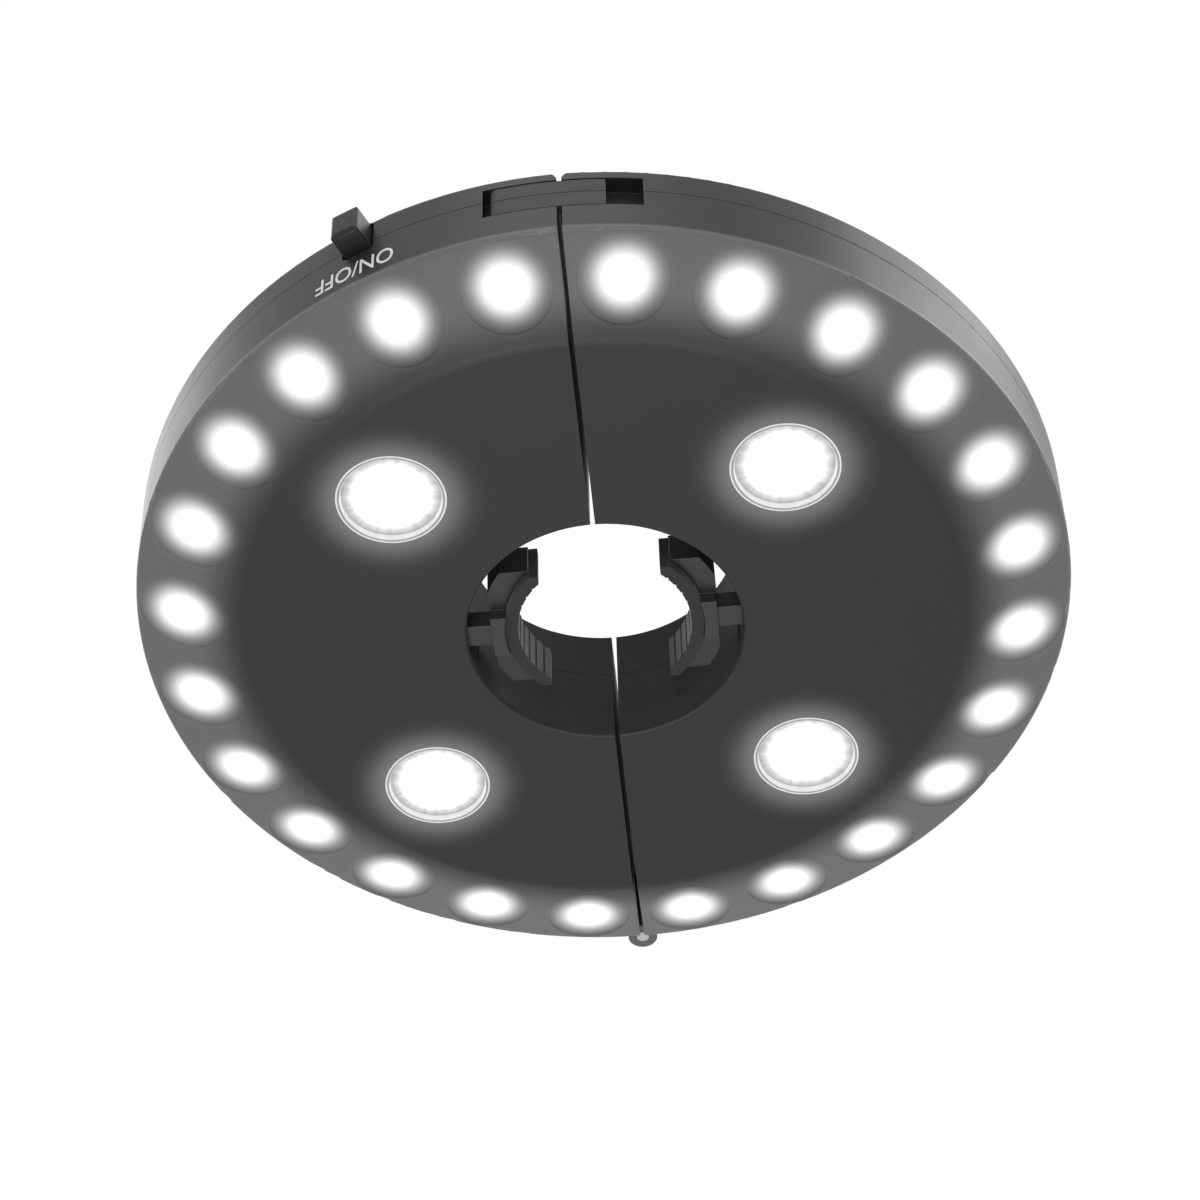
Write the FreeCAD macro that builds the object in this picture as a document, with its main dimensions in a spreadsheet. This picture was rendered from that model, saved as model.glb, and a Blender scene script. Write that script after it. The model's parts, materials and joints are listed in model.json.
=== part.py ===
"""Patio umbrella light: a round lamp in two hinged halves that closes round an umbrella pole.

Millimetres, +Z up. The lamp hangs with its LED face down, and the pole's axis is the Z axis. The
origin is midway up the jaws' pads, where the pole is held. Heights in the sheet are counted from
the LED face, and each finished piece is lowered by the height of that middle. The two halves meet
on the plane X = 0: they part at the latch on the -Y side and turn on the hinge pin on the +Y
side. "left" is the -X half, which carries the switch and latch.
"""

import FreeCAD, Part
import math
import os
import re
import Sketcher

doc = FreeCAD.newDocument("patio_umbrella_light")
V = FreeCAD.Vector

# ---------------------------------------------------------------------------------------------
# Driving dimensions
# ---------------------------------------------------------------------------------------------

SIZES = {
    # the disc
    "disc_radius": (107.5, "outer radius of the rim"),
    "hole_radius": (31.7, "hole for the pole"),
    "slope_width": (24.5, "width of the slope from the flat LED face to the rim"),
    "rim_low": (7.0, "height of the rim's lower edge"),
    "part_line": (21.0, "height where the lower shell meets the upper cover"),
    "rim_top": (28.8, "height of the rim's upper edge"),
    "lamp_height": (35.0, "height of the flat top"),
    "shoulder_width": (19.5, "width of the shoulder from the flat top to the rim"),
    "wall": (2.0, "wall of the shells and covers"),
    "slit": (1.1, "gap between the two halves"),
    "seam": (0.15, "groove left at the part line"),
    "rim_round": (1.2, "rounding of the rim's lower edge"),
    "rim_top_round": (1.8, "rounding of the rim's upper edge"),
    "slope_round": (10.0, "soft rounding where a flat face turns into a slope"),
    "hole_round": (1.0, "rounding of the hole's edges"),
    "notch_width": (3.6, "width at the top of the notch in the rim, each side of the slit"),
    "notch_depth": (3.2, "depth of the notch in the rim"),
    # fits
    "easy": (0.3, "clearance round a piece that moves or drops in"),
    "running": (0.06, "radial clearance of a pin in its bore"),
    "snug": (0.1, "clearance round a piece that is fixed in its seat"),
    # the ring of small LEDs
    "led_inset": (11.0, "from the rim to the circle of the small LEDs"),
    "led_step": (15.0, "angle from one small LED to the next, degrees"),
    "led_radius": (2.5, "small LED's dome"),
    "led_flange_radius": (2.9, "small LED's foot"),
    "led_flange": (1.0, "height of the small LED's foot"),
    "led_drop": (3.6, "from the board to the centre of the small LED's dome"),
    "dimple_radius": (10.2, "shallow dish round each small LED"),
    "dimple_depth": (0.5, "depth of that dish"),
    "board_level": (8.8, "underside of the LED boards"),
    "board_thick": (1.6, "thickness of the LED boards"),
    "board_inset": (4.5, "from the rim to the outer edge of the LED boards"),
    "board_width": (15.0, "width of the LED boards"),
    # the four spot lamps
    "spot_ring_radius": (62.0, "circle of the spot lamps"),
    "spot_angle": (45.0, "angle of the spot lamps from the slit, degrees"),
    "spot_radius": (12.5, "hole for a spot lens"),
    "spot_rim": (1.0, "raised rim round a spot lens"),
    "spot_recess": (1.4, "depth of a spot lens inside its rim"),
    "spot_flange": (13.7, "radius of the flange that holds a lens and its reflector"),
    "spot_plate": (1.5, "thickness of a spot lens's flange"),
    "cup_height": (6.0, "height of a reflector above its flange"),
    "cup_throat": (4.0, "inner radius of a reflector at its LED"),
    "cup_wall": (0.8, "wall of a reflector"),
    "spot_board_radius": (9.0, "radius of a spot lamp's board"),
    "spot_led_radius": (3.0, "radius of a spot LED"),
    # the jaws that grip the pole
    "pole_radius": (20.0, "pole that the jaws hold here"),
    "pad_thick": (2.95, "rubber pad"),
    "pad_half_angle": (46.0, "half the angle that a pad covers, degrees"),
    "groove_radius": (0.35, "grip groove down a pad"),
    "jaw_face_radius": (23.0, "hollow face of a jaw behind its pad"),
    "jaw_back_radius": (28.2, "rounded back of a jaw"),
    "jaw_back": (26.0, "flat back of a jaw, from the pole's axis"),
    "jaw_half_width": (16.5, "half the width of a jaw"),
    "jaw_low": (1.2, "underside of a jaw"),
    "jaw_high": (13.0, "top of a jaw"),
    "pad_margin": (0.8, "jaw left showing above and below its pad"),
    "wing_low": (4.4, "underside of a jaw's two wings, beside its middle block"),
    "block_half_width": (5.6, "half the width of a jaw's middle block"),
    "window_half_width": (9.5, "half the width of the opening that a jaw's slide bar comes out of"),
    "window_high": (13.5, "top of that opening"),
    "bar_half_width": (2.9, "half the width of a jaw's slide bar"),
    "bar_low": (2.3, "underside of a slide bar"),
    "bar_high": (7.5, "top of a slide bar"),
    "bar_neck": (42.9, "where a slide bar widens into its stop, from the pole's axis"),
    "bar_end": (50.0, "end of a slide bar"),
    "stop_half_width": (4.2, "half the width of a slide bar's stop"),
    "rail_wall": (1.8, "wall of the guide rails"),
    "rail_end": (58.0, "where the spring bears on the guide's end wall"),
    "guide_plate": (1.4, "plate that covers a guide"),
    "spring_radius": (2.0, "mean radius of a jaw spring"),
    "spring_wire": (0.6, "wire of a jaw spring"),
    "spring_turns": (5.0, "turns of a jaw spring"),
    # hinge
    "hinge_out": (1.1, "hinge axis, outside the rim"),
    "knuckle_radius": (3.6, "outer radius of the hinge knuckles"),
    "hinge_pin_radius": (1.5, "hinge pin"),
    "knuckle_low": (8.0, "bottom of the lowest knuckle"),
    "knuckle_split": (14.2, "height between the lowest and middle knuckles"),
    "knuckle_high": (27.4, "top of the highest knuckle"),
    # latch
    "latch_low": (16.0, "underside of the latch plate"),
    "latch_high": (25.4, "top of the latch plate"),
    "latch_thick": (2.2, "thickness of the latch plate"),
    "latch_sunk": (0.1, "latch plate below the rim's surface"),
    "latch_pin_x": (13.6, "latch pin, from the slit"),
    "latch_pin_radius": (0.9, "latch pin"),
    "latch_barrel": (1.6, "barrel round the latch pin"),
    "latch_reach": (10.0, "free end of the latch, from the slit"),
    "latch_nib": (1.2, "nib inside the free end"),
    "latch_groove": (0.3, "depth of the groove that carries the part line across the latch"),
    "pocket_left": (16.6, "left end of the latch's pocket, from the slit"),
    "pocket_right": (18.0, "right end of the finger notch, from the slit"),
    "pocket_depth": (3.9, "depth of the latch's pocket"),
    # switch
    "switch_angle": (114.6, "place of the button round the rim, degrees"),
    "button_width": (6.8, "width of the button"),
    "button_height": (8.2, "height of the button"),
    "button_level": (23.0, "height of the button's centre"),
    "button_proud": (6.2, "how far the button stands out of the rim"),
    "button_round": (0.9, "rounding of the button's corners"),
    "button_gap": (0.5, "gap round the button"),
    "button_edge": (1.3, "rounding of the button's outer edges"),
    "button_travel": (2.5, "travel of the button"),
    "button_flange": (1.2, "flange that keeps the button in"),
    "button_stem": (2.4, "stem behind the flange"),
    "switch_width": (9.0, "width of the switch"),
    "switch_deep": (5.5, "depth of the switch"),
    "switch_drop": (1.8, "top of the switch, below the rim's upper edge"),
    # batteries
    "cell_radius": (7.1, "battery cell"),
    "cell_length": (48.9, "length of a cell without its button"),
    "cell_button": (1.4, "length of a cell's button"),
    "cell_button_radius": (2.7, "radius of a cell's button"),
    "cell_near": (51.0, "nearer cell, from the slit"),
    "cell_pitch": (15.2, "from one cell to the next"),
    "tray_wall": (1.4, "wall of the battery tray"),
    "tray_depth": (16.8, "depth of the battery tray under the cover, its floor included"),
    "door_lap": (2.0, "how far a door laps over its opening"),
    "door_plate": (1.2, "thickness of a door's plate"),
    "door_frame": (1.5, "depth of the frame under a door"),
    "contact_plate": (0.5, "thickness of a contact plate"),
    "contact_half": (5.0, "half the side of a contact plate"),
    "contact_wire": (0.6, "wire of a contact spring"),
    "contact_turns": (3.0, "turns of a contact spring"),
    "contact_radius": (3.0, "mean radius of a contact spring"),
    "contact_length": (4.3, "length of a contact spring behind a cell"),
    # screws
    "post_radius": (3.0, "screw posts of the lower shell"),
    "post_x": (9.5, "screw posts by the slit, from the slit"),
    "post_inset": (34.5, "from the rim to the screw posts by the slit"),
    "far_post_inset": (26.5, "from the rim to the screw posts beside the battery tray"),
    "far_post_angle": (30.0, "place of those posts round the lamp, degrees"),
    "cover_post_radius": (4.2, "screw posts of the upper cover"),
    "screw_radius": (1.2, "shank of a case screw"),
    "screw_head": (2.5, "head of a case screw"),
    "screw_head_high": (1.4, "height of that head"),
    "screw_sink": (1.6, "how deep the head is sunk"),
    "screw_foot": (9.0, "lower end of a case screw"),
    "board_post_radius": (2.6, "posts under an LED board"),
    "board_screw_radius": (0.9, "shank of a board screw"),
    "board_screw_head": (1.8, "head of a board screw"),
    "board_screw_head_high": (1.0, "height of that head"),
    "board_screw_long": (4.2, "length of a board screw's shank"),
}

sheet = doc.addObject("Spreadsheet::Sheet", "Sizes")
for row, (alias, (value, note)) in enumerate(SIZES.items(), start=1):
    sheet.set(f"A{row}", note)
    sheet.set(f"B{row}", str(value))
    sheet.setAlias(f"B{row}", alias)
doc.recompute()


class Size:
    """A length or angle that knows both its number and the sheet's formula for it."""

    def __init__(self, value, formula):
        self.value = value
        self.formula = formula

    def __add__(self, other):
        other = size_of(other)
        return Size(self.value + other.value, f"({self.formula} + {other.formula})")

    def __sub__(self, other):
        other = size_of(other)
        return Size(self.value - other.value, f"({self.formula} - {other.formula})")

    def __mul__(self, other):
        other = size_of(other)
        return Size(self.value * other.value, f"({self.formula} * {other.formula})")

    def __truediv__(self, other):
        other = size_of(other)
        return Size(self.value / other.value, f"({self.formula} / {other.formula})")

    def __neg__(self):
        return self * -1

    def __radd__(self, other):
        return size_of(other) + self

    def __rsub__(self, other):
        return size_of(other) - self

    def __rmul__(self, other):
        return size_of(other) * self


def size_of(number):
    return number if isinstance(number, Size) else Size(number, repr(number))


def cosine(angle):
    angle = size_of(angle)
    return Size(math.cos(math.radians(angle.value)), f"cos({angle.formula})")


def sine(angle):
    angle = size_of(angle)
    return Size(math.sin(math.radians(angle.value)), f"sin({angle.formula})")


def root(number):
    return Size(math.sqrt(number.value), f"sqrt({number.formula})")


class Sheet:
    """Sheet values by name: dim.wall is the wall's Size."""

    def __getattr__(self, alias):
        return Size(SIZES[alias][0], f"Sizes.{alias}")


dim = Sheet()

# ---------------------------------------------------------------------------------------------
# Helpers: each makes one object of the document, bound to the sheet
# ---------------------------------------------------------------------------------------------

counts = {}
heights = {}


def fresh(stem):
    """A name that no other object has."""
    counts[stem] = counts.get(stem, 0) + 1
    return f"{stem}_{counts[stem]}"


def bind(obj, **sizes):
    for name, size in sizes.items():
        size = size_of(size)
        path = name.replace("__", ".")
        if "." not in path:
            setattr(obj, path, size.value)
        if "Sizes." in size.formula:
            obj.setExpression(path, size.formula)


def place(obj, x=0, y=0, z=0, turn=0):
    """Puts obj at x, y, z, turned about Z by turn degrees."""
    x, y, z, turn = size_of(x), size_of(y), size_of(z), size_of(turn)
    obj.Placement = FreeCAD.Placement(
        V(x.value, y.value, z.value), FreeCAD.Rotation(V(0, 0, 1), turn.value)
    )
    bind(obj, Placement__Base__x=x, Placement__Base__y=y, Placement__Base__z=z)
    bind(obj, Placement__Rotation__Angle=turn)
    heights[obj.Name] = z
    return obj


def cylinder(stem, radius, low, high, x=0, y=0):
    """A round bar along Z, from low to high."""
    obj = doc.addObject("Part::Cylinder", fresh(stem))
    bind(obj, Radius=radius, Height=size_of(high) - low)
    return place(obj, x, y, low)


def block(stem, x, y, z):
    """A box between two values on each axis."""
    obj = doc.addObject("Part::Box", fresh(stem))
    sides = {"Length": x, "Width": y, "Height": z}
    bind(obj, **{side: size_of(high) - low for side, (low, high) in sides.items()})
    return place(obj, x[0], y[0], z[0])


def ball(stem, radius, x, y, z):
    obj = doc.addObject("Part::Sphere", fresh(stem))
    bind(obj, Radius=radius)
    return place(obj, x, y, z)


def join(stem, shapes):
    if len(shapes) == 1:
        return shapes[0]
    obj = doc.addObject("Part::MultiFuse", fresh(stem))
    obj.Shapes = shapes
    obj.Refine = True
    return obj


def cut(stem, base, tools):
    obj = doc.addObject("Part::Cut", fresh(stem))
    obj.Base = base
    obj.Tool = join(stem + "_tools", tools)
    obj.Refine = True
    return obj


def overlap(stem, shapes):
    obj = doc.addObject("Part::MultiCommon", fresh(stem))
    obj.Shapes = shapes
    obj.Refine = True
    return obj


def group(stem, shapes):
    """Separate solids kept as one piece of the list, such as a set of screws."""
    obj = doc.addObject("Part::Compound", fresh(stem))
    obj.Links = shapes
    return obj


def corner_points(corners):
    """For each corner of an outline: where the line in ends, and where the line out starts."""
    ends = []
    for i, (x, y, radius) in enumerate(corners):
        here = V(size_of(x).value, size_of(y).value, 0)
        if radius is None:
            ends.append((here, here))
            continue
        before, after = corners[i - 1], corners[(i + 1) % len(corners)]
        back = (V(size_of(before[0]).value, size_of(before[1]).value, 0) - here).normalize()
        ahead = (V(size_of(after[0]).value, size_of(after[1]).value, 0) - here).normalize()
        reach = size_of(radius).value / math.tan(back.getAngle(ahead) / 2)
        ends.append((here + back * reach, here + ahead * reach))
    return ends


def draw(sketch, corners):
    """An outline through corners (x, y, radius): each is sharp, or rounded where it has a radius.

    Corners go anticlockwise. A rounded corner's own point is kept as a construction point.
    """

    def constrain(kind, *items, size=None):
        if size is None:
            sketch.addConstraint(Sketcher.Constraint(kind, *items))
            return
        size = size_of(size)
        index = sketch.addConstraint(Sketcher.Constraint(kind, *items, size.value))
        if "Sizes." in size.formula:
            name = f"c{index}"
            sketch.renameConstraint(index, name)
            sketch.setExpression(f"Constraints.{name}", size.formula)

    ends = corner_points(corners)
    lines = []
    for i in range(len(corners)):
        start, finish = ends[i][1], ends[(i + 1) % len(corners)][0]
        lines.append(sketch.addGeometry(Part.LineSegment(start, finish), False))
    for i, (x, y, radius) in enumerate(corners):
        line_in, line_out = lines[i - 1], lines[i]
        if radius is None:
            constrain("Coincident", line_in, 2, line_out, 1)
            point = (line_out, 1)
        else:
            here = V(size_of(x).value, size_of(y).value, 0)
            start, finish = ends[i]
            back, ahead = start - here, finish - here
            middle = here + (back + ahead).normalize() * (
                math.hypot(size_of(radius).value, back.Length) - size_of(radius).value
            )
            arc = sketch.addGeometry(Part.Arc(start, middle, finish), False)
            turns_left = (ahead.cross(back)).z > 0
            first, last = (1, 2) if turns_left else (2, 1)
            constrain("Tangent", line_in, 2, arc, first)
            constrain("Tangent", line_out, 1, arc, last)
            constrain("Radius", arc, size=radius)
            mark = sketch.addGeometry(Part.Point(here), True)
            constrain("PointOnObject", mark, 1, line_in)
            constrain("PointOnObject", mark, 1, line_out)
            point = (mark, 1)
        constrain("DistanceX", -1, 1, *point, size=x)
        constrain("DistanceY", -1, 1, *point, size=y)


def sketch_in(body, plane, corners, level=0):
    """A sketch on one of the body's own origin planes, level mm off it."""
    sketch = body.newObject("Sketcher::SketchObject", fresh("outline"))
    face = [f for f in body.Origin.OriginFeatures if f.Role == plane][0]
    sketch.AttachmentSupport = (face, "")
    sketch.MapMode = "FlatFace"
    level = size_of(level)
    sketch.AttachmentOffset = FreeCAD.Placement(V(0, 0, level.value), FreeCAD.Rotation())
    bind(sketch, AttachmentOffset__Base__z=level)
    doc.recompute()
    draw(sketch, corners)
    return sketch


def turned(stem, corners, x=0, y=0):
    """A body turned about a vertical axis at x, y. Corners are (radius, height, rounding)."""
    body = doc.addObject("PartDesign::Body", fresh(stem))
    sketch = sketch_in(body, "XZ_Plane", corners)
    spin = body.newObject("PartDesign::Revolution", fresh(stem + "_spin"))
    spin.Profile = sketch
    spin.ReferenceAxis = (sketch, ["V_Axis"])
    spin.Angle = 360
    return place(body, x, y)


def pushed(stem, plane, corners, start, length, x=0, y=0, z=0, turn=0):
    """A body pushed out of an outline, from start over length."""
    body = doc.addObject("PartDesign::Body", fresh(stem))
    pad = body.newObject("PartDesign::Pad", fresh(stem + "_pad"))
    pad.Profile = sketch_in(body, plane, corners, start)
    bind(pad, Length=length)
    return place(body, x, y, z, turn)


def spring_shape(turns, height, radius, wire):
    """A coil along Z from 0 to height, open at its ends."""
    coil = Part.makeLongHelix(height / turns, height, radius)
    profile = Part.Wire(Part.makeCircle(wire / 2, V(radius, 0, 0), V(0, 1, 0)))
    return Part.Wire(coil).makePipeShell([profile], True, True)


def finish(obj, label):
    """Names a finished sub-part, and lowers it by the height of the pads' middle."""
    obj.Label = label
    height = heights.get(obj.Name, size_of(obj.Placement.Base.z))
    bind(obj, Placement__Base__z=height - (dim.jaw_low + dim.jaw_high) / 2)
    finished.append(obj)
    return obj


finished = []
SIDES = {"left": -1, "right": 1}
ENDS = {"front": -1, "rear": 1}


def span(side, low, high):
    """low..high on the right half, and its mirror image on the left."""
    return (size_of(low), size_of(high)) if side > 0 else (-size_of(high), -size_of(low))


def half_room(side, gap, low, high):
    """The space of one half, gap away from the plane between the halves."""
    reach = dim.disc_radius * 1.2
    return block("half_room", span(side, gap, reach), (-reach, reach), (low, high))


def led_places(side):
    """Centres of one half's small LEDs."""
    places = []
    for k in range(round(180 / SIZES["led_step"][0])):
        angle = dim.led_step * (k + 0.5) - 90
        places.append(
            (side * led_ring * cosine(angle), led_ring * sine(angle))
        )
    return places


def board_post_places(side):
    """Posts under an LED board stand midway between two LEDs."""
    places = []
    for step in (-4, 0, 4):
        angle = dim.led_step * step
        places.append((side * board_middle * cosine(angle), board_middle * sine(angle)))
    return places


def case_post_places(side):
    """Screw posts that hold the upper cover on the lower shell."""
    near = dim.disc_radius - dim.post_inset
    far = dim.disc_radius - dim.far_post_inset
    places = []
    for end in ENDS.values():
        places.append((side * dim.post_x, end * near))
        places.append(
            (side * far * cosine(dim.far_post_angle), end * far * sine(dim.far_post_angle))
        )
    return places


def spot_place(side, end):
    return (
        side * dim.spot_ring_radius * sine(dim.spot_angle),
        end * dim.spot_ring_radius * cosine(dim.spot_angle),
    )


face_radius = dim.disc_radius - dim.slope_width
top_radius = dim.disc_radius - dim.shoulder_width
led_ring = dim.disc_radius - dim.led_inset
board_outer = dim.disc_radius - dim.board_inset
board_inner = board_outer - dim.board_width
board_middle = board_outer - dim.board_width / 2
hinge_y = dim.disc_radius + dim.hinge_out
half_gap = dim.slit / 2
beyond = dim.disc_radius * 1.2
slope_rise = dim.rim_low / (dim.disc_radius - face_radius)
board_post_foot = (board_middle - face_radius) * slope_rise + dim.wall / 2
latch_outer = dim.disc_radius - dim.latch_sunk
latch_inner = latch_outer - dim.latch_thick
pocket_floor = dim.disc_radius - dim.pocket_depth
backing_inner = pocket_floor - dim.wall
pin_circle = latch_outer - dim.latch_barrel
latch_pin_y = -root(pin_circle * pin_circle - dim.latch_pin_x * dim.latch_pin_x)
latch_bore = dim.latch_pin_radius + dim.running
pocket_low = dim.latch_low - dim.easy
pocket_high = dim.latch_high + dim.easy
lens_back = dim.wall + dim.spot_plate
cup_top = lens_back + dim.spot_plate + dim.cup_height
guide_top = dim.bar_high + dim.easy
bar_room = dim.bar_half_width + dim.easy
rail_inner = dim.stop_half_width + dim.easy
rail_outer = rail_inner + dim.rail_wall
hinge_bore = dim.hinge_pin_radius + dim.running
knuckle_room = dim.knuckle_radius + dim.easy
cover_under = dim.lamp_height - dim.wall
tray_floor = cover_under - dim.tray_depth
switch_top = dim.rim_top - dim.switch_drop
tray_near = dim.cell_near - dim.cell_pitch / 2 - dim.snug
tray_far = dim.cell_near + dim.cell_pitch * 1.5 + dim.snug
cell_level = tray_floor + dim.tray_wall + dim.cell_radius + dim.snug
cell_way = dim.cell_length + dim.cell_button + dim.contact_length + dim.contact_wire
tray_half = cell_way / 2 + dim.contact_plate + dim.snug

# Height ranges of the hinge knuckles: lowest (left), middle (right), highest (left).
knuckles = {
    ("left", "lower"): (dim.knuckle_low, dim.knuckle_split - dim.easy / 2),
    ("right", "lower"): (dim.knuckle_split + dim.easy / 2, dim.part_line - dim.easy),
    ("left", "upper"): (dim.part_line, dim.knuckle_high),
}


def knuckle(side_name, level):
    low, high = knuckles[side_name, level]
    return cylinder("knuckle", dim.knuckle_radius, low, high, 0, hinge_y)


def hinge_cuts(side_name):
    """The pin's bore, and room for the other half's knuckles."""
    bore = (hinge_bore, dim.knuckle_low - 1, dim.knuckle_high + 1)
    cuts = [cylinder("pin_bore", *bore, 0, hinge_y)]
    for (owner, _level), (low, high) in knuckles.items():
        if owner != side_name:
            room = (knuckle_room, low - dim.easy / 2, high + dim.easy / 2)
            cuts.append(cylinder("knuckle_room", *room, 0, hinge_y))
    return cuts


def latch_backing(side, low, high):
    """Thicker wall behind the latch's pocket."""
    ring = cut(
        "backing_ring",
        cylinder("backing_outer", dim.disc_radius - dim.wall / 2, low, high),
        [cylinder("backing_inner", backing_inner, low - 1, high + 1)],
    )
    reach = dim.pocket_left + dim.wall if side < 0 else dim.pocket_right + dim.wall
    room = block("backing_room", span(side, half_gap, reach), (-beyond, -half_gap), (low, high))
    return overlap("backing", [ring, room])


def latch_pocket():
    """The pocket that the latch lies in, with the finger notch at its free end."""
    room = block(
        "pocket_room",
        (-dim.pocket_left, dim.pocket_right),
        (-beyond, -face_radius),
        (pocket_low, pocket_high),
    )
    core = cylinder("pocket_core", pocket_floor, pocket_low - 1, pocket_high + 1)
    return cut("pocket", room, [core])


def button_block(stem, near, far, grow, top_grow=None):
    """A block on the button's axis, from near to far out of the centre, grown all round."""
    half_width = dim.button_width / 2 + grow
    low = -dim.button_height / 2 - grow
    high = dim.button_height / 2 + (grow if top_grow is None else top_grow)
    corners = [
        (-half_width, low, dim.button_round),
        (half_width, low, dim.button_round),
        (half_width, high, dim.button_round),
        (-half_width, high, dim.button_round),
    ]
    turn = 90 - dim.switch_angle
    return pushed(
        stem, "XZ_Plane", corners, near, size_of(far) - near, z=dim.button_level, turn=turn
    )


def button_cap(near, far):
    """The part of the button that is pressed, with its outer edges rounded."""
    half_width = dim.button_width / 2
    half_height = dim.button_height / 2
    plan = [
        (-half_width, -far, dim.button_edge),
        (half_width, -far, dim.button_edge),
        (half_width, -near, None),
        (-half_width, -near, None),
    ]
    profile = [
        (-far, -half_height, dim.button_edge),
        (-near, -half_height, None),
        (-near, half_height, None),
        (-far, half_height, dim.button_edge),
    ]
    at = {"z": dim.button_level, "turn": 90 - dim.switch_angle}
    return overlap(
        "button_cap",
        [
            button_block("button_front", near, far, 0),
            pushed("button_plan", "XY_Plane", plan, -half_height, dim.button_height, **at),
            pushed("button_side", "YZ_Plane", profile, -half_width, dim.button_width, **at),
        ],
    )


# ---------------------------------------------------------------------------------------------
# Lower shell: the LED face, the slope and the lower part of the rim
# ---------------------------------------------------------------------------------------------


def lower_form():
    return turned(
        "lower_form",
        [
            (dim.hole_radius, 0, dim.hole_round),
            (face_radius, 0, dim.slope_round),
            (dim.disc_radius, dim.rim_low, dim.rim_round),
            (dim.disc_radius, dim.part_line - dim.seam, None),
            (dim.hole_radius, dim.part_line - dim.seam, None),
        ],
    )


def lower_hollow(side):
    room = turned(
        "lower_hollow",
        [
            (dim.hole_radius + dim.wall, dim.wall, None),
            (face_radius, dim.wall, dim.slope_round),
            (dim.disc_radius - dim.wall, dim.rim_low + dim.wall, None),
            (dim.disc_radius - dim.wall, dim.part_line + 1, None),
            (dim.hole_radius + dim.wall, dim.part_line + 1, None),
        ],
    )
    return overlap(
        "lower_room", [room, half_room(side, half_gap + dim.wall, 0, dim.lamp_height)]
    )


def dimples(side):
    """Shallow dishes round the small LEDs, their floors parallel to the slope."""
    band = turned(
        "dimple_band",
        [
            (face_radius, -dim.rim_low, None),
            (beyond, -dim.rim_low, None),
            (beyond, (beyond - face_radius) * slope_rise + dim.dimple_depth, None),
            (face_radius, dim.dimple_depth, None),
        ],
    )
    discs = [
        cylinder("dish", dim.dimple_radius, -dim.rim_low, dim.part_line, x, y)
        for x, y in led_places(side)
    ]
    return overlap("dimples", [band, join("dishes", discs)])


def guide_rails(side):
    """Two rails and an end wall on the shell's floor, which guide a jaw's slide bar."""
    start = dim.hole_radius + dim.wall / 2
    end = dim.rail_end + dim.rail_wall
    floor = dim.wall / 2
    rails = [
        block("rail", span(side, start, end), (rail_inner, rail_outer), (floor, guide_top)),
        block("rail", span(side, start, end), (-rail_outer, -rail_inner), (floor, guide_top)),
    ]
    wall_span = span(side, dim.rail_end, end)
    rails.append(
        block("rail_end_wall", wall_span, (-rail_outer, rail_outer), (floor, guide_top))
    )
    for low, high in ((bar_room, rail_outer), (-rail_outer, -bar_room)):
        catch_span = span(side, start, start + dim.wall / 2)
        rails.append(block("rail_catch", catch_span, (low, high), (floor, guide_top)))
    return rails


def bar_window(side):
    """The opening in the hole's wall that a jaw's slide bar comes out of."""
    reach = span(side, dim.hole_radius - dim.wall * 2, dim.hole_radius + dim.wall / 2 + 2)
    half = dim.window_half_width
    return block("bar_window", reach, (-half, half), (dim.wall, dim.window_high))


def lower_shell(side_name):
    side = SIDES[side_name]
    form = overlap(
        "lower_half", [lower_form(), half_room(side, half_gap, -1, dim.lamp_height)]
    )
    shell = cut("lower_walls", form, [lower_hollow(side), bar_window(side)])
    parts = [shell, knuckle(side_name, "lower")]
    parts += guide_rails(side)
    parts.append(latch_backing(side, pocket_low - dim.wall, dim.part_line - dim.seam))
    for x, y in board_post_places(side):
        post = (dim.board_post_radius, board_post_foot, dim.board_level, x, y)
        parts.append(cylinder("board_post", *post))
    for x, y in case_post_places(side):
        parts.append(cylinder("case_post", dim.post_radius, dim.wall / 2, dim.part_line, x, y))
    whole = join("lower_whole", parts)

    cuts = hinge_cuts(side_name)
    cuts.append(latch_pocket())
    cuts.append(dimples(side))
    for x, y in led_places(side):
        cuts.append(cylinder("led_hole", dim.led_radius + dim.snug, -1, dim.board_level, x, y))
    for end in ENDS.values():
        x, y = spot_place(side, end)
        cuts.append(cylinder("spot_hole", dim.spot_radius, -1, dim.wall + 1, x, y))
    for x, y in board_post_places(side):
        depth = dim.board_screw_long - dim.board_thick + dim.easy
        bore = dim.board_screw_radius + dim.running
        hole = (bore, dim.board_level - depth, dim.board_level + 1, x, y)
        cuts.append(cylinder("board_screw_hole", *hole))
    for x, y in case_post_places(side):
        bore = dim.screw_radius + dim.running
        hole = (bore, dim.screw_foot - dim.easy, dim.part_line + 1, x, y)
        cuts.append(cylinder("case_screw_hole", *hole))
    if side_name == "left":
        cuts.append(button_block("button_window", face_radius, beyond, dim.button_gap))
        hole = (latch_bore, pocket_low - dim.wall / 2, dim.part_line)
        cuts.append(cylinder("latch_pin_hole", *hole, -dim.latch_pin_x, latch_pin_y))
    finish(cut("lower_shell", whole, cuts), f"lower_shell_{side_name}")


# ---------------------------------------------------------------------------------------------
# Upper cover: the upper part of the rim, the sloped shoulder and the flat top
# ---------------------------------------------------------------------------------------------


def upper_form():
    return turned(
        "upper_form",
        [
            (dim.hole_radius, dim.part_line, None),
            (dim.disc_radius, dim.part_line, None),
            (dim.disc_radius, dim.rim_top, dim.rim_top_round),
            (top_radius, dim.lamp_height, dim.slope_round),
            (dim.hole_radius, dim.lamp_height, dim.hole_round),
        ],
    )


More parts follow.
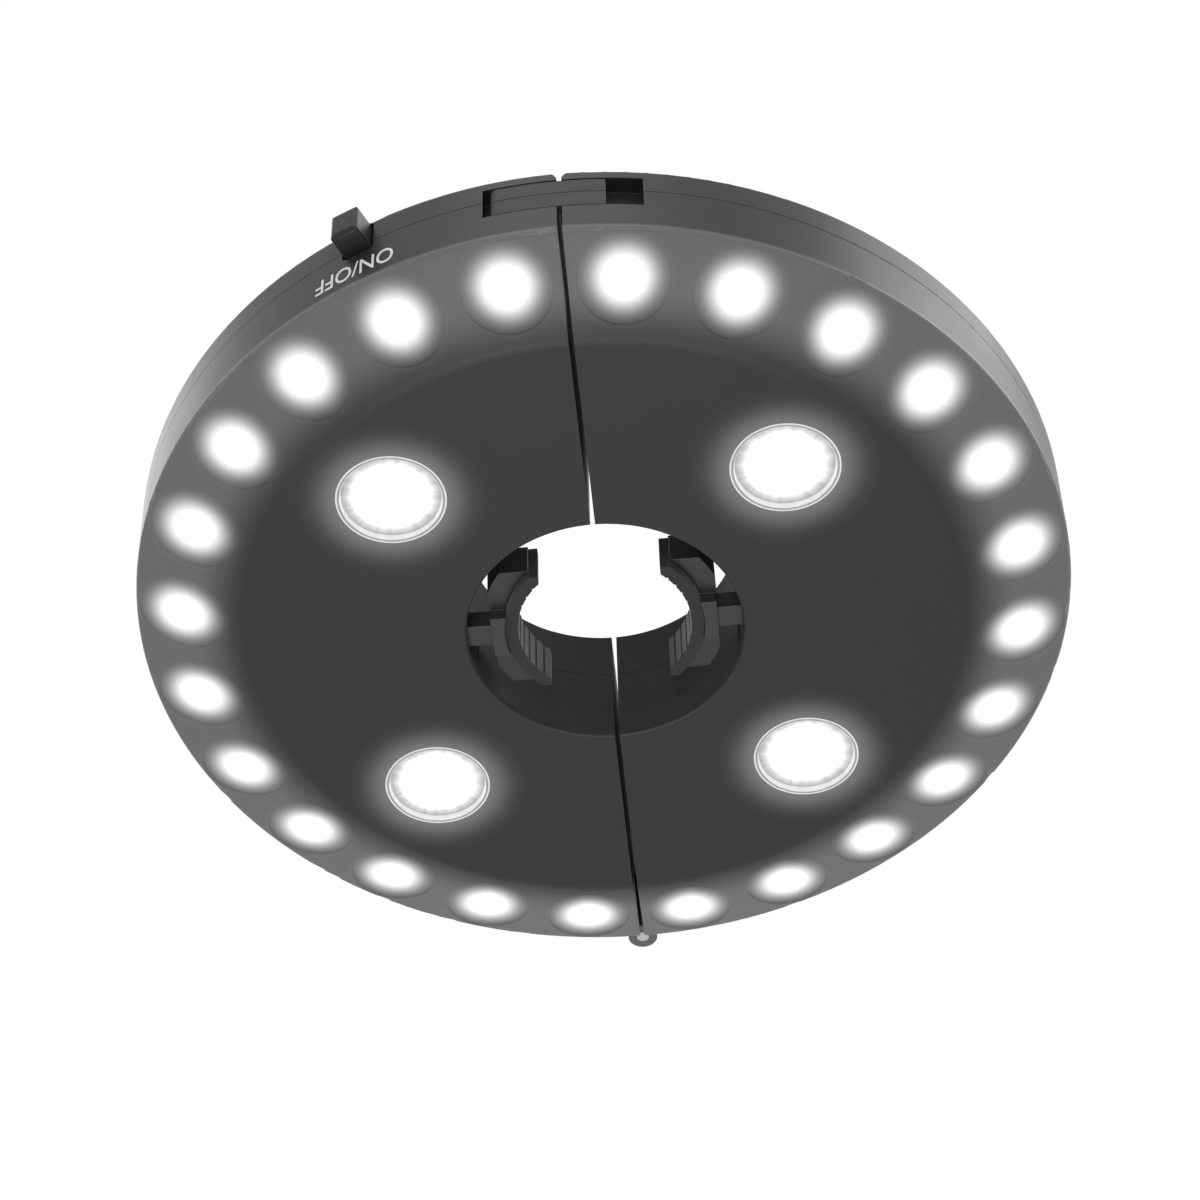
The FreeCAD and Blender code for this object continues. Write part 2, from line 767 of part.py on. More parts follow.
def upper_hollow(side):
    room = turned(
        "upper_hollow",
        [
            (dim.hole_radius + dim.wall, dim.part_line - 1, None),
            (dim.disc_radius - dim.wall, dim.part_line - 1, None),
            (dim.disc_radius - dim.wall, dim.rim_top - dim.wall, None),
            (top_radius - dim.wall / 2, cover_under, dim.slope_round),
            (dim.hole_radius + dim.wall, cover_under, None),
        ],
    )
    return overlap(
        "upper_room", [room, half_room(side, half_gap + dim.wall, 0, dim.lamp_height)]
    )


def rim_notch():
    """The V where the two halves' rims meet, open upwards."""
    floor = dim.rim_top - dim.notch_depth
    half = dim.notch_width / 2
    corners = [
        (-half * 2, dim.rim_top + dim.notch_depth, None),
        (0, floor, None),
        (half * 2, dim.rim_top + dim.notch_depth, None),
    ]
    return pushed("rim_notch", "XZ_Plane", corners, top_radius, dim.disc_radius)


def upper_cover(side_name):
    side = SIDES[side_name]
    form = overlap(
        "upper_half", [upper_form(), half_room(side, half_gap, 0, dim.lamp_height + 1)]
    )
    cover = cut("upper_walls", form, [upper_hollow(side)])
    parts = [cover, latch_backing(side, dim.part_line, pocket_high + dim.wall)]
    if (side_name, "upper") in knuckles:
        parts.append(knuckle(side_name, "upper"))
    for x, y in case_post_places(side):
        post = (dim.cover_post_radius, dim.part_line, cover_under + dim.wall / 2, x, y)
        parts.append(cylinder("cover_post", *post))
    whole = join("upper_whole", parts)

    cuts = hinge_cuts(side_name)
    cuts.append(latch_pocket())
    cuts.append(rim_notch())
    for x, y in case_post_places(side):
        clear = dim.screw_radius + dim.easy
        cuts.append(cylinder("screw_way", clear, 0, dim.lamp_height + 1, x, y))
        sink = (dim.screw_head + dim.easy, dim.lamp_height - dim.screw_sink, dim.lamp_height + 1)
        cuts.append(cylinder("screw_sink", *sink, x, y))
    half_long = tray_half
    lap = dim.door_lap + dim.easy
    opening = (span(side, tray_near, tray_far), (-half_long, half_long))
    cuts.append(block("battery_way", *opening, (dim.part_line, dim.lamp_height + 1)))
    seat = (
        span(side, tray_near - lap, tray_far + lap),
        (-half_long - lap, half_long + lap),
        (dim.lamp_height - dim.door_plate - dim.snug, dim.lamp_height + 1),
    )
    cuts.append(block("door_seat", *seat))
    if side_name == "left":
        cuts.append(button_block("button_window", face_radius, beyond, dim.button_gap))
        hole = (latch_bore, dim.part_line, pocket_high + dim.wall / 2)
        cuts.append(cylinder("latch_pin_hole", *hole, -dim.latch_pin_x, latch_pin_y))
    finish(cut("upper_cover", whole, cuts), f"upper_cover_{side_name}")


# ---------------------------------------------------------------------------------------------
# Hinge pin, latch and its pin
# ---------------------------------------------------------------------------------------------


def hinge_pin():
    pin = (dim.hinge_pin_radius, dim.knuckle_low, dim.knuckle_high, 0, hinge_y)
    finish(cylinder("hinge_pin", *pin), "hinge_pin")


def ring_band(stem, inner, outer, low, high):
    return cut(
        stem + "_band",
        cylinder(stem + "_outer", outer, low, high),
        [cylinder(stem + "_inner", inner, low - 1, high + 1)],
    )


def latch_lever():
    low, high = dim.latch_low, dim.latch_high
    front = (-beyond, -face_radius)
    plate = overlap(
        "latch_plate",
        [
            ring_band("latch_plate", latch_inner, latch_outer, low, high),
            block("latch_room", (-dim.latch_pin_x, dim.latch_reach), front, (low, high)),
        ],
    )
    nib_room = (dim.latch_reach - dim.latch_nib, dim.latch_reach)
    nib = overlap(
        "latch_nib",
        [
            ring_band("latch_nib", latch_inner - dim.latch_nib, latch_outer, low, high),
            block("nib_room", nib_room, front, (low + dim.wall, high - dim.wall)),
        ],
    )
    barrel = cylinder("latch_barrel", dim.latch_barrel, low, high, -dim.latch_pin_x, latch_pin_y)
    bore = cylinder("latch_bore", latch_bore, low - 1, high + 1, -dim.latch_pin_x, latch_pin_y)
    groove_floor = latch_outer - dim.latch_groove
    groove = ring_band(
        "latch_groove", groove_floor, beyond, dim.part_line - dim.seam, dim.part_line
    )
    whole = join("latch_whole", [plate, nib, barrel])
    finish(cut("latch_lever", whole, [bore, groove]), "latch_lever")


def latch_pin():
    low = pocket_low - dim.wall / 2
    high = pocket_high + dim.wall / 2
    pin = cylinder("latch_pin", dim.latch_pin_radius, low, high, -dim.latch_pin_x, latch_pin_y)
    finish(pin, "latch_pin")


# ---------------------------------------------------------------------------------------------
# Jaws: sprung slides with toothed rubber pads that grip the pole
# ---------------------------------------------------------------------------------------------


def jaw(side_name):
    side = SIDES[side_name]
    low, high = dim.jaw_low, dim.jaw_high
    front = dim.pole_radius * cosine(dim.pad_half_angle)
    head_span = span(side, front, dim.jaw_back)
    wings = (-dim.jaw_half_width, dim.jaw_half_width)
    middle = (-dim.block_half_width, dim.block_half_width)
    head_room = [
        block("wing_room", head_span, wings, (dim.wing_low, high)),
        block("middle_room", head_span, middle, (low, high)),
    ]
    head = overlap(
        "jaw_head",
        [
            ring_band("jaw_head", dim.jaw_face_radius, dim.jaw_back_radius, low, high),
            join("jaw_head_room", head_room),
        ],
    )
    level = (dim.bar_low, dim.bar_high)
    half = dim.bar_half_width
    bar = block("slide_bar", span(side, dim.jaw_back - 1, dim.bar_neck + 1), (-half, half), level)
    stop = dim.stop_half_width
    foot = block("slide_stop", span(side, dim.bar_neck, dim.bar_end), (-stop, stop), level)
    finish(join("jaw", [head, bar, foot]), f"jaw_{side_name}")


def jaw_pad(side_name):
    side = SIDES[side_name]
    low, high = dim.jaw_low + dim.pad_margin, dim.jaw_high - dim.pad_margin
    outer = dim.pole_radius + dim.pad_thick
    front = dim.pole_radius * cosine(dim.pad_half_angle)
    pad = overlap(
        "pad_form",
        [
            ring_band("pad", dim.pole_radius, outer, low, high),
            block(
                "pad_room",
                span(side, front, outer + 1),
                (-dim.jaw_half_width, dim.jaw_half_width),
                (low, high),
            ),
        ],
    )
    grooves = []
    for step in range(-5, 6):
        angle = dim.pad_half_angle * (step / 5.75)
        x, y = side * dim.pole_radius * cosine(angle), dim.pole_radius * sine(angle)
        grooves.append(cylinder("grip_groove", dim.groove_radius, low - 1, high + 1, x, y))
    finish(cut("jaw_pad", pad, grooves), f"jaw_pad_{side_name}")


def jaw_spring(side_name):
    side = SIDES[side_name]
    clear = SIZES["snug"][0]
    start = SIZES["bar_end"][0] + clear
    length = SIZES["rail_end"][0] - clear - start
    wire = SIZES["spring_wire"][0]
    shape = spring_shape(
        SIZES["spring_turns"][0], length - wire, SIZES["spring_radius"][0], wire
    )
    obj = doc.addObject("Part::Feature", "jaw_spring")
    obj.Shape = shape
    middle = (SIZES["bar_low"][0] + SIZES["bar_high"][0]) / 2
    turn = FreeCAD.Rotation(V(0, 1, 0), 90 * side)
    obj.Placement = FreeCAD.Placement(V(side * (start + wire / 2), 0, middle), turn)
    finish(obj, f"jaw_spring_{side_name}")


def jaw_guide_cover(side_name):
    side = SIDES[side_name]
    start = dim.hole_radius + dim.wall + dim.easy
    end = dim.rail_end + dim.rail_wall
    level = (guide_top, guide_top + dim.guide_plate)
    plate = block("guide_cover", span(side, start, end), (-rail_outer, rail_outer), level)
    finish(plate, f"jaw_guide_cover_{side_name}")


# ---------------------------------------------------------------------------------------------
# Lamps
# ---------------------------------------------------------------------------------------------


def led_board(side_name):
    side = SIDES[side_name]
    low, high = dim.board_level, dim.board_level + dim.board_thick
    board = overlap(
        "board_form",
        [
            ring_band("board", board_inner, board_outer, low, high),
            half_room(side, half_gap + dim.wall + dim.easy, low, high),
        ],
    )
    holes = [
        cylinder("board_hole", dim.board_screw_radius + dim.snug, low - 1, high + 1, x, y)
        for x, y in board_post_places(side)
    ]
    finish(cut("led_board", board, holes), f"led_board_{side_name}")


def ring_leds(side_name):
    centre = dim.board_level - dim.led_drop
    leds = []
    for x, y in led_places(SIDES[side_name]):
        leds.append(
            join(
                "small_led",
                [
                    ball("led_dome", dim.led_radius, x, y, centre),
                    cylinder("led_body", dim.led_radius, centre, dim.board_level, x, y),
                    cylinder(
                        "led_foot",
                        dim.led_flange_radius,
                        dim.board_level - dim.led_flange,
                        dim.board_level,
                        x,
                        y,
                    ),
                ],
            )
        )
    finish(group("ring_leds", leds), f"ring_leds_{side_name}")


def spot_lamp(side_name, end_name):
    """One spot lamp: a clear lens in the face, a bright cup, an LED and its own small board."""
    x, y = spot_place(SIDES[side_name], ENDS[end_name])
    where = f"{end_name}_{side_name}"
    rim_outer = dim.spot_radius - dim.snug
    rim_inner = rim_outer - dim.spot_rim
    lens = turned(
        "spot_lens",
        [
            (0, dim.spot_recess, None),
            (rim_inner, dim.spot_recess, None),
            (rim_inner, dim.snug, None),
            (rim_outer, dim.snug, None),
            (rim_outer, dim.wall, None),
            (dim.spot_flange, dim.wall, None),
            (dim.spot_flange, lens_back, None),
            (0, lens_back, None),
        ],
        x,
        y,
    )
    finish(lens, f"spot_lens_{where}")

    flange_top = lens_back + dim.spot_plate
    mouth = rim_inner - dim.cup_wall
    reflector = turned(
        "spot_reflector",
        [
            (mouth, lens_back, None),
            (dim.spot_flange, lens_back, None),
            (dim.spot_flange, flange_top, None),
            (mouth + dim.cup_wall, flange_top, None),
            (dim.cup_throat + dim.cup_wall, cup_top, None),
            (dim.cup_throat, cup_top, None),
        ],
        x,
        y,
    )
    finish(reflector, f"spot_reflector_{where}")

    board = cylinder(
        "spot_board", dim.spot_board_radius, cup_top, cup_top + dim.board_thick, x, y
    )
    finish(board, f"spot_board_{where}")

    led_base = cup_top - dim.board_thick
    led = join(
        "spot_led",
        [
            cylinder("spot_led_body", dim.spot_led_radius, led_base, cup_top, x, y),
            overlap(
                "spot_led_front",
                [
                    ball("spot_led_dome", dim.spot_led_radius - dim.easy, x, y, led_base),
                    cylinder("spot_led_room", dim.spot_led_radius, lens_back, cup_top, x, y),
                ],
            ),
        ],
    )
    finish(led, f"spot_led_{where}")


# ---------------------------------------------------------------------------------------------
# Switch
# ---------------------------------------------------------------------------------------------


def switch_button():
    flange_outer = dim.disc_radius - dim.wall - dim.easy
    flange_inner = flange_outer - dim.button_flange
    cap = button_cap(flange_inner, dim.disc_radius + dim.button_proud)
    flange = button_block("button_flange", flange_inner, flange_outer, 1, -dim.button_flange)
    stem = button_block("button_stem", flange_inner - dim.button_stem, flange_inner, -2)
    finish(join("switch_button", [cap, flange, stem]), "switch_button")


def switch_module():
    """The push switch stands on the left LED board, just behind the pressed button's stem."""
    front = (
        dim.disc_radius
        - dim.wall
        - dim.easy
        - dim.button_flange
        - dim.button_stem
        - dim.button_travel
        - dim.easy
    )
    half = dim.switch_width / 2
    low, high = dim.board_level + dim.board_thick, switch_top
    corners = [(-half, low, None), (half, low, None), (half, high, None), (-half, high, None)]
    start = front - dim.switch_deep
    turn = 90 - dim.switch_angle
    body = pushed("switch", "XZ_Plane", corners, start, dim.switch_deep, turn=turn)
    finish(body, "switch_module")


# ---------------------------------------------------------------------------------------------
# Batteries
# ---------------------------------------------------------------------------------------------


def battery_tray(side_name):
    side = SIDES[side_name]
    wall = dim.tray_wall
    long = tray_half
    outer = block(
        "tray_form",
        span(side, tray_near - wall, tray_far + wall),
        (-long - wall, long + wall),
        (tray_floor, cover_under),
    )
    inner = block(
        "tray_room",
        span(side, tray_near, tray_far),
        (-long, long),
        (tray_floor + wall, cover_under + 1),
    )
    finish(cut("battery_tray", outer, [inner]), f"battery_tray_{side_name}")


def cell_turn(side, place_in_tray):
    """Cells lie head to tail: +1 has its button at the rear, -1 at the front."""
    return 1 if place_in_tray == 0 else -1


def battery_cell(side_name, place_in_tray):
    side = SIDES[side_name]
    name = ("near", "far")[place_in_tray]
    x = side * (dim.cell_near + dim.cell_pitch * place_in_tray)
    turn = cell_turn(side, place_in_tray)
    radius, button = SIZES["cell_radius"][0], SIZES["cell_button_radius"][0]
    length, nub = SIZES["cell_length"][0], SIZES["cell_button"][0]
    end = tray_half.value - SIZES["contact_plate"][0] - SIZES["snug"][0]
    along = V(0, turn, 0)
    start = V(x.value, turn * (end - nub - length), cell_level.value)
    can = Part.makeCylinder(radius, length, start, along)
    tip = Part.makeCylinder(button, nub, start + along * length, along)
    obj = doc.addObject("Part::Feature", "battery_cell")
    obj.Shape = can.fuse(tip).removeSplitter()
    finish(obj, f"battery_cell_{side_name}_{name}")


def battery_contacts(side_name):
    """A plate at each cell's button, and a plate with a coil at its other end."""
    side = SIDES[side_name]
    thick, half = SIZES["contact_plate"][0], SIZES["contact_half"][0]
    long = tray_half.value
    wire = SIZES["contact_wire"][0]
    coil_length = SIZES["contact_length"][0]
    shapes = []
    for place_in_tray in (0, 1):
        x = (side * (dim.cell_near + dim.cell_pitch * place_in_tray)).value
        turn = cell_turn(side, place_in_tray)
        for end in (turn, -turn):
            low = V(x - half, min(end * long, end * (long - thick)), cell_level.value - half)
            plate = Part.makeBox(2 * half, thick, 2 * half, low)
            if end != turn:
                coil = spring_shape(
                    SIZES["contact_turns"][0], coil_length, SIZES["contact_radius"][0], wire
                )
                coil.rotate(V(0, 0, 0), V(1, 0, 0), -90 * turn)
                coil.translate(V(x, end * (long - thick - wire / 2), cell_level.value))
                shapes.append(coil)
            shapes.append(plate)
    obj = doc.addObject("Part::Feature", "battery_contacts")
    obj.Shape = Part.makeCompound(shapes)
    finish(obj, f"battery_contacts_{side_name}")


def battery_door(side_name):
    side = SIDES[side_name]
    lap = dim.door_lap
    long = tray_half
    under = dim.lamp_height - dim.door_plate
    plate = block(
        "door_plate",
        span(side, tray_near - lap, tray_far + lap),
        (-long - lap, long + lap),
        (under, dim.lamp_height),
    )
    ease = dim.easy
    wall = dim.tray_wall
    frame_form = block(
        "door_frame",
        span(side, tray_near + ease, tray_far - ease),
        (-long + ease, long - ease),
        (under - dim.door_frame, under + dim.door_plate / 2),
    )
    frame_room = block(
        "door_frame_room",
        span(side, tray_near + ease + wall, tray_far - ease - wall),
        (-long + ease + wall, long - ease - wall),
        (under - dim.door_frame - 1, under),
    )
    frame = cut("door_frame_walls", frame_form, [frame_room])
    grip_x = side * (dim.cell_near + dim.cell_pitch / 2)
    grips = [
        block(
            "door_grip",
            (grip_x - dim.contact_half, grip_x + dim.contact_half),
            (long - step - dim.contact_wire, long - step),
            (dim.lamp_height - dim.door_plate / 2, dim.lamp_height + 1),
        )
        for step in (0, 2, 4)
    ]
    door = cut("battery_door", join("door_whole", [plate, frame]), grips)
    finish(door, f"battery_door_{side_name}")


# ---------------------------------------------------------------------------------------------
# Screws
# ---------------------------------------------------------------------------------------------


def case_screws(side_name):
    screws = []
    seat = dim.lamp_height - dim.screw_sink
    for x, y in case_post_places(SIDES[side_name]):
        shank = cylinder("screw_shank", dim.screw_radius, dim.screw_foot, seat, x, y)
        head = cylinder("screw_head", dim.screw_head, seat, seat + dim.screw_head_high, x, y)
        screws.append(join("case_screw", [shank, head]))
    finish(group("case_screws", screws), f"case_screws_{side_name}")


def board_screws(side_name):
    screws = []
    seat = dim.board_level + dim.board_thick
    for x, y in board_post_places(SIDES[side_name]):
        foot = seat - dim.board_screw_long
        shank = cylinder("screw_shank", dim.board_screw_radius, foot, seat, x, y)
        top = seat + dim.board_screw_head_high
        head = cylinder("screw_head", dim.board_screw_head, seat, top, x, y)
        screws.append(join("board_screw", [shank, head]))
    finish(group("board_screws", screws), f"board_screws_{side_name}")


# ---------------------------------------------------------------------------------------------
# The whole lamp
# ---------------------------------------------------------------------------------------------

for side_name in SIDES:
    lower_shell(side_name)
    upper_cover(side_name)
    jaw(side_name)
    jaw_pad(side_name)
    jaw_spring(side_name)
    jaw_guide_cover(side_name)
    led_board(side_name)
    ring_leds(side_name)
    for end_name in ENDS:
        spot_lamp(side_name, end_name)
    battery_tray(side_name)
    for place_in_tray in (0, 1):
        battery_cell(side_name, place_in_tray)
    battery_contacts(side_name)
    battery_door(side_name)
    case_screws(side_name)
    board_screws(side_name)
hinge_pin()
latch_lever()
latch_pin()
switch_button()
switch_module()

doc.recompute()

for obj in doc.Objects:
    if "Invalid" in obj.State or "Error" in obj.State:
        raise RuntimeError(f"{obj.Name} ({obj.Label}) failed: {obj.State}")
os.makedirs("parts", exist_ok=True)
for obj in finished:
    if obj.Shape.isNull() or not obj.Shape.isValid() or not obj.Shape.Solids:
        raise RuntimeError(f"{obj.Label} has no valid solid")
    if not re.fullmatch(r"[a-z_]{1,59}", obj.Label):
        raise RuntimeError(f"{obj.Label} can't be a file name")
    obj.Shape.exportStep(f"parts/{obj.Label}.step")
    print(f"{obj.Label}: {len(obj.Shape.Solids)} solids, {obj.Shape.Volume / 1000:.2f} cm3")
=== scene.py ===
# %% [markdown]
# Patio umbrella light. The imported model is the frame: its solids are already in place, in metres,
# so this notebook gives them their finishes, swaps the ones with round faces for finer copies,
# marks the switch, and lights the scene.

# %% Load the frame
import itertools
import json
import math

import bpy
from mathutils import Matrix, Vector
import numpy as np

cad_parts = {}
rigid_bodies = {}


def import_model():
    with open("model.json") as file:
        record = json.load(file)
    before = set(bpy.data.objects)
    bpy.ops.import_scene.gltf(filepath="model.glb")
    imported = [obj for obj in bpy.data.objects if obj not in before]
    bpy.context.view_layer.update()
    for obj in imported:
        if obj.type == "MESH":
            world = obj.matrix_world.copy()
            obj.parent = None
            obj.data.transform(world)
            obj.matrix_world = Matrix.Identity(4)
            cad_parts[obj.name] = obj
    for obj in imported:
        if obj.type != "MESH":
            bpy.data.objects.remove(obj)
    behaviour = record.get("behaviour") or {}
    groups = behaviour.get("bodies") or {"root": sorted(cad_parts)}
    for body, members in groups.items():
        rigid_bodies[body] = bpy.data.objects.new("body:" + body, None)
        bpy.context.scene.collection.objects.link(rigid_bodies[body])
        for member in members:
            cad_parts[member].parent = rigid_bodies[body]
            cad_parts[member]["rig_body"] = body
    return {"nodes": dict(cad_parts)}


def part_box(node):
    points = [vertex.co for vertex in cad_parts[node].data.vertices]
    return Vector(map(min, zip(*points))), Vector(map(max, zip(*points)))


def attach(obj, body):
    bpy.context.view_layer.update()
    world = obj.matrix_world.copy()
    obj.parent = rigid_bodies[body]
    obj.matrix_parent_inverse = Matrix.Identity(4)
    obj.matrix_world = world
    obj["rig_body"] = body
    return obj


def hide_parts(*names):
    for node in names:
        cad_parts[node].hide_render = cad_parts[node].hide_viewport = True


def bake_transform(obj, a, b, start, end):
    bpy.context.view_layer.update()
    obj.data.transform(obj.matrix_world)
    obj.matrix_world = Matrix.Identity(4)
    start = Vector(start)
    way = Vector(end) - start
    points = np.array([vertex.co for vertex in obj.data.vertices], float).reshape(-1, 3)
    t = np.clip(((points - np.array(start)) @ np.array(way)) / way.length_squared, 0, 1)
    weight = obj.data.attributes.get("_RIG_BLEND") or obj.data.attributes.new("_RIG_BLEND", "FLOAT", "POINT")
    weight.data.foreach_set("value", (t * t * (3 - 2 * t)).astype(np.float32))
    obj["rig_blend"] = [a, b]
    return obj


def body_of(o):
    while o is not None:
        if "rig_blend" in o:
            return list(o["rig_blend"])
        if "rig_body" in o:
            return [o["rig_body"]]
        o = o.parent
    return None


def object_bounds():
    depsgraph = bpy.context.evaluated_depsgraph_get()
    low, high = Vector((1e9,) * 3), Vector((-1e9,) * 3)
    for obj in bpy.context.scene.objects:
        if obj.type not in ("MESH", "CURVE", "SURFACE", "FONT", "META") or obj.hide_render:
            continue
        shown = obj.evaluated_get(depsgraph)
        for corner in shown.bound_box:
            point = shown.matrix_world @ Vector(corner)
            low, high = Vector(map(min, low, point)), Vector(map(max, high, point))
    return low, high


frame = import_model()
cad_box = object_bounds()
NODES = frame["nodes"]
SIDES = {"left": -1, "right": 1}
ENDS = {"front": -1, "rear": 1}
print(len(NODES), "solids loaded, box", [[round(v, 4) for v in corner] for corner in cad_box])

# %% [markdown]
# The sizes that the finishes and finer pieces share with the solids, in metres. The face's level
# and the disc's radius are read from the frame. Writing each size once keeps a pattern, such as the
# glow round each small LED, centred on its solid.

# %% Shared sizes
MM = 0.001
FACE_LEVEL = cad_box[0][2]
DISC_RADIUS = cad_box[1][0]
LED_RING = DISC_RADIUS - 11 * MM
LED_STEP = math.radians(15)
SPOT_CIRCLE = 62 * MM
SPOT_REACH = SPOT_CIRCLE * math.cos(math.radians(45))
WHITE = (1, 1, 1, 1)
print("disc", round(2 * DISC_RADIUS / MM, 1), "mm across")

# %% [markdown]
# The camera comes first. The lamp hangs overhead, so the view is from below, looking up at about
# 49 degrees with a long lens. A matrix of right, up and back directions places it exactly.

# %% Camera
CAMERA_RIGHT = Vector((0.9959, 0.0882, -0.0207)).normalized()
CAMERA_UP = Vector((0.08, -0.7491, 0.6576)).normalized()
CAMERA_DISTANCE = 0.84
CAMERA_SHIFT = (-0.0044, 0.0272)
LENS = 110
SENSOR = 36

camera_back = CAMERA_RIGHT.cross(CAMERA_UP).normalized()
camera_up = camera_back.cross(CAMERA_RIGHT)
turn = Matrix((CAMERA_RIGHT, camera_up, camera_back)).transposed().to_4x4()
camera_data = bpy.data.cameras.new("camera")
camera = bpy.data.objects.new("camera", camera_data)
bpy.context.scene.collection.objects.link(camera)
aim_point = Vector((0, 0, FACE_LEVEL))
camera.matrix_world = Matrix.Translation(aim_point + camera_back * CAMERA_DISTANCE) @ turn
camera_data.sensor_width = SENSOR
camera_data.lens = LENS
camera_data.shift_x, camera_data.shift_y = CAMERA_SHIFT
camera_data.clip_start = 0.01
bpy.context.scene.camera = camera
print("camera at", [round(v, 3) for v in camera.location])

# %% [markdown]
# Every finish is a small group of nodes on a Principled shader. These helpers keep the cells below
# short: `finish` starts a material with plain values on the shader's own sockets, `add` makes a
# node, and `link` wires two nodes by their socket names.


# %% Helpers for nodes
def finish(name, colour, roughness, metallic=0.0, **sockets):
    """A new material. Numbers that are the same all over go straight on the shader's sockets."""
    material = bpy.data.materials.new(name)
    material.use_nodes = True
    shader = material.node_tree.nodes["Principled BSDF"]
    shader.inputs["Base Color"].default_value = (*colour, 1)
    shader.inputs["Roughness"].default_value = roughness
    shader.inputs["Metallic"].default_value = metallic
    for socket, value in sockets.items():
        shader.inputs[socket.replace("_", " ")].default_value = value
    return material


def add(material, kind, **settings):
    """A node in a material. Names of settings that start with in_ fill the node's own sockets."""
    node = material.node_tree.nodes.new(kind)
    for name, value in settings.items():
        if name.startswith("in_"):
            node.inputs[name[3:].replace("_", " ")].default_value = value
        else:
            setattr(node, name, value)
    return node


def link(material, source, socket, target, slot):
    material.node_tree.links.new(source.outputs[socket], target.inputs[slot])


def shader_of(material):
    return material.node_tree.nodes["Principled BSDF"]


def maths(material, operation, first, second=None):
    """A Math node. Each value is a number or a node whose first output is used."""
    node = add(material, "ShaderNodeMath", operation=operation)
    for index, value in enumerate((first, second)):
        if value is None:
            continue
        if isinstance(value, (int, float)):
            node.inputs[index].default_value = value
        else:
            material.node_tree.links.new(value.outputs[0], node.inputs[index])
    return node


def fade(material, value, start, end, high, low=0.0):
    """high where the value is at start, sinking smoothly to low at end."""
    node = add(
        material,
        "ShaderNodeMapRange",
        interpolation_type="SMOOTHSTEP",
        in_From_Min=start,
        in_From_Max=end,
        in_To_Min=high,
        in_To_Max=low,
    )
    material.node_tree.links.new(value, node.inputs["Value"])
    return node


print("node helpers ready")

# %% [markdown]
# Moulded plastic is never perfectly even. `grain` presses fine noise into the surface as a bump,
# and `uneven` lets the roughness drift a little. Both follow the object's own coordinates.


# %% Helpers for surfaces
def grain(material, scale, strength, distance, edge=0.0):
    """Fine moulded grain. edge is the radius that a sharp corner seems to be rounded with."""
    place = add(material, "ShaderNodeTexCoord")
    noise = add(material, "ShaderNodeTexNoise", in_Scale=scale, in_Detail=4.0)
    link(material, place, "Object", noise, "Vector")
    bump = add(material, "ShaderNodeBump", in_Strength=strength, in_Distance=distance)
    link(material, noise, "Fac", bump, "Height")
    if edge:
        rounded = add(material, "ShaderNodeBevel", samples=6, in_Radius=edge)
        link(material, rounded, "Normal", bump, "Normal")
    link(material, bump, "Normal", shader_of(material), "Normal")


def uneven(material, scale, low, high):
    """Roughness that drifts between low and high over the surface, as moulding leaves it."""
    place = add(material, "ShaderNodeTexCoord")
    noise = add(material, "ShaderNodeTexNoise", in_Scale=scale, in_Detail=3.0)
    link(material, place, "Object", noise, "Vector")
    spread = add(material, "ShaderNodeMapRange", in_To_Min=low, in_To_Max=high)
    link(material, noise, "Fac", spread, "Value")
    link(material, spread, "Result", shader_of(material), "Roughness")


print("surface helpers ready")

# %% [markdown]
# `dress` gives a solid its finish as it is. `smooth_piece` makes a finer copy instead: the loose
# triangles are merged, faces that meet at a small angle are shaded as one, and the copy takes the
# solid's place on the same body. A stretching piece follows two bodies, one at each end.

# %% Helpers for pieces
MERGE_DISTANCE = 0.001 * MM
SHARP_ANGLE = math.radians(28)


def dress(node, material):
    """Gives a CAD solid its finish."""
    solid = NODES[node]
    solid.data.materials.clear()
    solid.data.materials.append(material)


def alone(piece):
    """Selects one object and nothing else, as a click on it does."""
    bpy.ops.object.select_all(action="DESELECT")
    piece.select_set(True)
    bpy.context.view_layer.objects.active = piece


def smooth_piece(node, material, across=None):
    """A finer stand-in for a solid: its loose triangles merged, so that round faces shade round.

    across names two bodies and two points, for a piece that stretches from one to the other.
    """
    solid = NODES[node]
    piece = bpy.data.objects.new(f"{node}_fine", solid.data.copy())
    bpy.context.scene.collection.objects.link(piece)
    alone(piece)
    bpy.ops.mesh.customdata_custom_splitnormals_clear()
    bpy.ops.object.mode_set(mode="EDIT")
    bpy.ops.mesh.select_all(action="SELECT")
    bpy.ops.mesh.remove_doubles(threshold=MERGE_DISTANCE)
    bpy.ops.object.mode_set(mode="OBJECT")
    bpy.ops.object.shade_smooth_by_angle(angle=SHARP_ANGLE)
    bpy.ops.object.modifier_add(type="WEIGHTED_NORMAL")
    piece.modifiers[0].keep_sharp = True
    bpy.ops.object.modifier_apply(modifier=piece.modifiers[0].name)
    piece.data.materials.clear()
    piece.data.materials.append(material)
    if across:
        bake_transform(piece, across[0], across[1], start=across[2], end=across[3])
    else:
        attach(piece, body_of(solid)[0])
    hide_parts(node)
    return piece


print("piece helpers ready")

# %% [markdown]
# The housing is charcoal plastic with a fine satin grain. The LEDs' light on the plastic round
# them is painted on as emission: a painted white halo round each small LED, a softer painted halo
# round each spot lamp, and a faint painted sheen over the whole slope. All of it follows the
# distance from the LEDs on the object's own coordinates, so it stays in place from every side. Here
# and below, a pair of lengths says where a fade starts and where it ends.

# %% Painted halo of the small LEDs
# Painted light: emission round each small LED, and a painted sheen over the slope.
PAINTED_LED_HALO = (3 * MM, 14 * MM)
PAINTED_SLOPE_SHEEN = (95 * MM, 82 * MM)
RIM_EDGE = (FACE_LEVEL + 7.6 * MM, FACE_LEVEL + 9 * MM)


